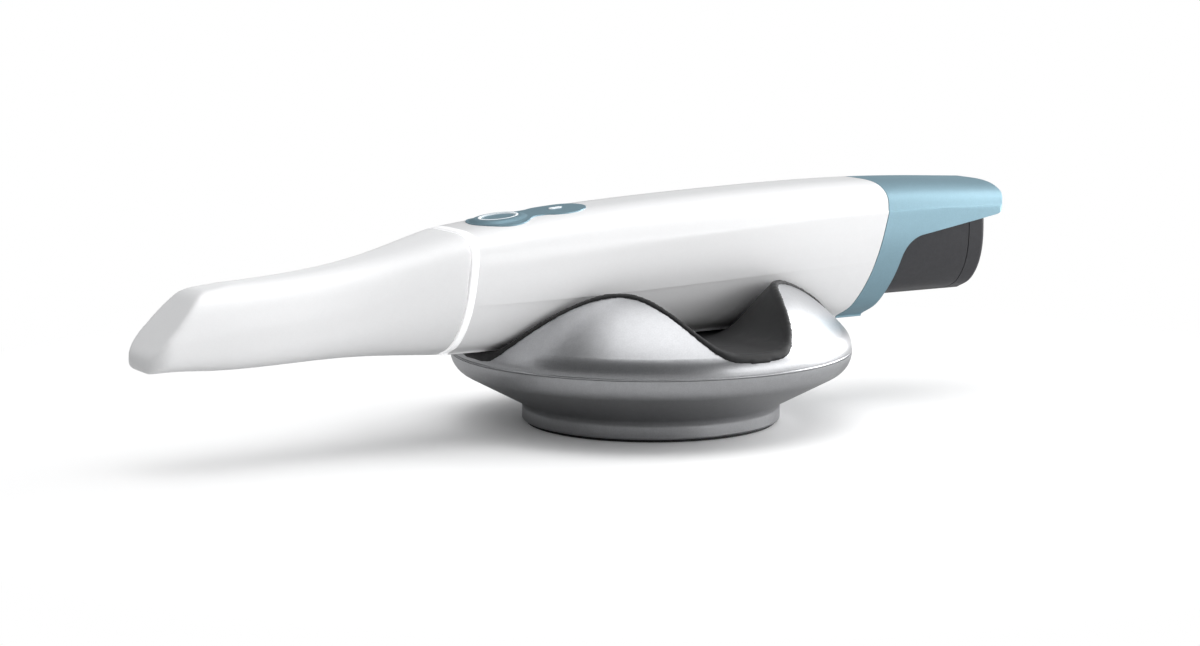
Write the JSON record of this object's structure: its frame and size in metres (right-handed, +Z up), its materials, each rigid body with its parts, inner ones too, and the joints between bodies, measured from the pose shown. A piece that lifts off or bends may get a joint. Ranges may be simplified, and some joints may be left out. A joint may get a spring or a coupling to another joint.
{
  "type": "intraoral scanner",
  "caption": "Cordless handheld intraoral scanner with a removable mirror tip and a slide-in battery, resting in a round four-lobed desk stand.",
  "frame": {"origin": "middle of the stand's foot pad, on the table", "axes": "+X along the scanner from its tip to its battery, +Y across it, +Z up"},
  "size_m": [0.2737, 0.117, 0.0672],
  "materials": {
    "stand_silver": "satin silver with a very fine grain",
    "liner_rubber": "soft-touch dark rubber",
    "pad_rubber": "matt black rubber",
    "ballast_iron": "raw cast iron",
    "screw_steel": "zinc-plated steel",
    "housing_white": "smooth white satin-gloss moulding",
    "trim_white": "bright white moulding",
    "cover_blue": "light blue satin moulding",
    "light_ring": "milky light guide",
    "board_green": "green solder mask on fibreglass",
    "switch_steel": "stamped steel",
    "nose_black": "black moulding, matt against stray light",
    "optic_glass": "coated optical glass",
    "seal_rubber": "silicone",
    "spring_steel": "polished spring steel",
    "tip_white": "white heat-proof moulding, satin",
    "mirror_silver": "front-surface mirror",
    "bench_aluminium": "milled aluminium",
    "coil_copper": "enamelled copper winding",
    "magnet_nickel": "nickel-plated magnet",
    "barrel_black": "black anodised aluminium",
    "chip_black": "moulded chip package",
    "ribbon_amber": "polyimide film",
    "contact_gold": "gold-plated contact",
    "battery_grey": "charcoal satin moulding",
    "cell_blue": "shrink-sleeved cell"
  },
  "bodies": {
    "stand": {"stand_lower_shell": "stand_silver", "stand_upper_shell": "stand_silver", "cradle_liner": "liner_rubber", "foot_pad": "pad_rubber", "stand_ballast": "ballast_iron", "stand_screws": "screw_steel"},
    "handset": {"upper_housing": "housing_white", "lower_housing": "housing_white", "nose_ring": "trim_white", "rear_cover": "cover_blue", "cover_screws": "screw_steel", "control_pad": "cover_blue", "button_light_ring": "light_ring", "indicator_light": "light_ring", "button_board": "board_green", "key_switch": "switch_steel", "nose_barrel": "nose_black", "nose_window": "optic_glass", "nose_lens": "optic_glass", "nose_seal": "seal_rubber", "tip_springs": "spring_steel", "flange_screws": "screw_steel", "chassis": "bench_aluminium", "shell_screws": "screw_steel", "guide_rods": "spring_steel", "focus_magnets": "magnet_nickel", "lens_barrel": "barrel_black", "relay_lenses": "optic_glass", "beam_splitter": "optic_glass", "image_sensor": "chip_black", "sensor_board": "board_green", "ribbon_cable": "ribbon_amber", "lamp_holder": "bench_aluminium", "pattern_plate": "optic_glass", "collimator_lens": "optic_glass", "light_board": "board_green", "heat_sink": "bench_aluminium", "main_board": "board_green", "board_chips": "chip_black", "board_screws": "screw_steel", "antenna_board": "board_green", "battery_bay": "nose_black", "bay_screws": "screw_steel", "contact_board": "board_green", "contact_pins": "contact_gold", "retention_spring": "spring_steel"},
    "tip": {"tip_sleeve": "tip_white", "tip_mirror": "mirror_silver", "mirror_frame": "nose_black"},
    "battery": {"battery_case": "battery_grey", "battery_cap": "battery_grey", "battery_cells": "cell_blue", "cell_tray": "nose_black", "battery_board": "board_green", "battery_contacts": "contact_gold"},
    "scan_button": {"scan_button": "cover_blue"},
    "lens_carriage": {"lens_carriage": "nose_black", "focus_lens": "optic_glass", "focus_coil": "coil_copper"}
  },
  "joints": [
    {"name": "handset_lift", "type": "slide", "parent": "stand", "child": "handset", "axis": [0, 0, 1], "range_m": [0, 0.12]},
    {"name": "tip_pull", "type": "slide", "parent": "handset", "child": "tip", "axis": [-1, 0, 0], "range_m": [0, 0.065]},
    {"name": "battery_pull", "type": "slide", "parent": "handset", "child": "battery", "axis": [1, 0, 0], "range_m": [0, 0.09]},
    {"name": "button_press", "type": "slide", "parent": "handset", "child": "scan_button", "axis": [0, 0, -1], "range_m": [0, 0.0005], "stiffness_N_per_m": 800},
    {"name": "focus_slide", "type": "slide", "parent": "handset", "child": "lens_carriage", "axis": [1, 0, 0], "range_m": [-0.002, 0.002]}
  ]
}
